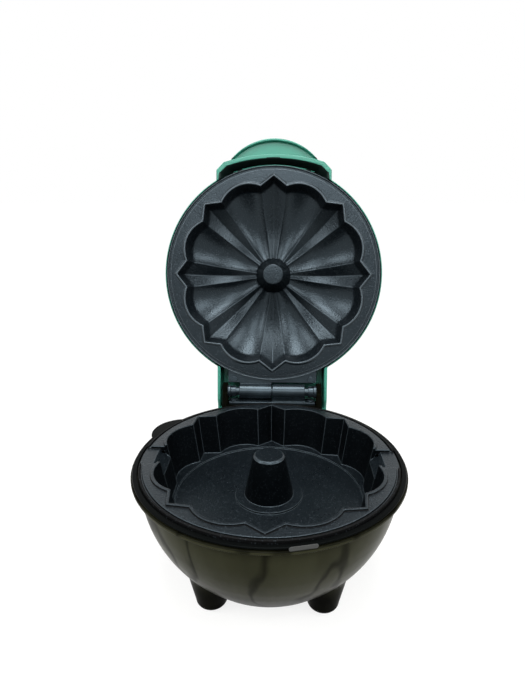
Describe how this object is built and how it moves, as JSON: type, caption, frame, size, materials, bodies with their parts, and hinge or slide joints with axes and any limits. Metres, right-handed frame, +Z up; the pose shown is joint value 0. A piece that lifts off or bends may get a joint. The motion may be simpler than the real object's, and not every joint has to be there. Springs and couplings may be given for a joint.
{
  "type": "mini fluted cake maker",
  "caption": "Small countertop cake maker with a footed bowl, a deep fluted lower mould with a centre post, and a hinged domed lid holding a fluted upper mould.",
  "frame": {"origin": "point on the table under the axis of the bowl", "axes": "+Z up, -Y towards the user at the front, +X to the user's right; the hinge is at the rear, +Y"},
  "size_m": [0.125, 0.2035, 0.2032],
  "materials": {
    "black_plastic": "glossy black moulded plastic",
    "black_trim": "satin black moulded plastic",
    "aqua_plastic": "semi-gloss aqua moulded plastic",
    "nonstick_cast": "cast metal with a satin speckled dark non-stick coat",
    "hinge_steel": "brushed grey steel",
    "tab_plastic": "matt grey plastic",
    "heater_tube": "heat-darkened steel tube",
    "reflector": "bright sheet metal",
    "insulator": "matt pale insulating plastic",
    "wire_sleeve": "matt insulating sleeve",
    "rubber_pad": "matt black rubber",
    "lens_amber": "clear amber plastic",
    "lamp_glass": "clear glass"
  },
  "bodies": {
    "base": {"base_housing": "black_plastic", "trim_ring": "black_trim", "rim_tab": "tab_plastic", "base_mould": "nonstick_cast", "base_hinge_leaf": "hinge_steel", "hinge_pin": "hinge_steel", "hinge_washers": "hinge_steel", "hinge_clips": "hinge_steel", "base_heater": "heater_tube", "base_heat_shield": "reflector", "thermostat": "insulator", "thermal_fuse": "insulator", "terminal_block": "insulator", "base_wires": "wire_sleeve", "cord_gland": "rubber_pad", "foot_pad_front_left": "rubber_pad", "foot_pad_front_right": "rubber_pad", "foot_pad_rear_left": "rubber_pad", "foot_pad_rear_right": "rubber_pad", "base_screws": "hinge_steel", "base_leaf_screws": "hinge_steel"},
    "lid": {"lid_shell": "aqua_plastic", "lid_mould": "nonstick_cast", "lid_hinge_leaf": "hinge_steel", "lid_heater": "heater_tube", "lid_heat_shield": "reflector", "lid_wires": "wire_sleeve", "indicator_lens": "lens_amber", "indicator_lamp": "lamp_glass", "lid_leaf_screws": "hinge_steel", "lid_shield_screws": "hinge_steel"}
  },
  "joints": [
    {"name": "lid_hinge", "type": "hinge", "parent": "base", "child": "lid", "pos_m": [0, 0.0672, 0.0647], "axis": [1, 0, 0], "range_deg": [0, 104]}
  ]
}
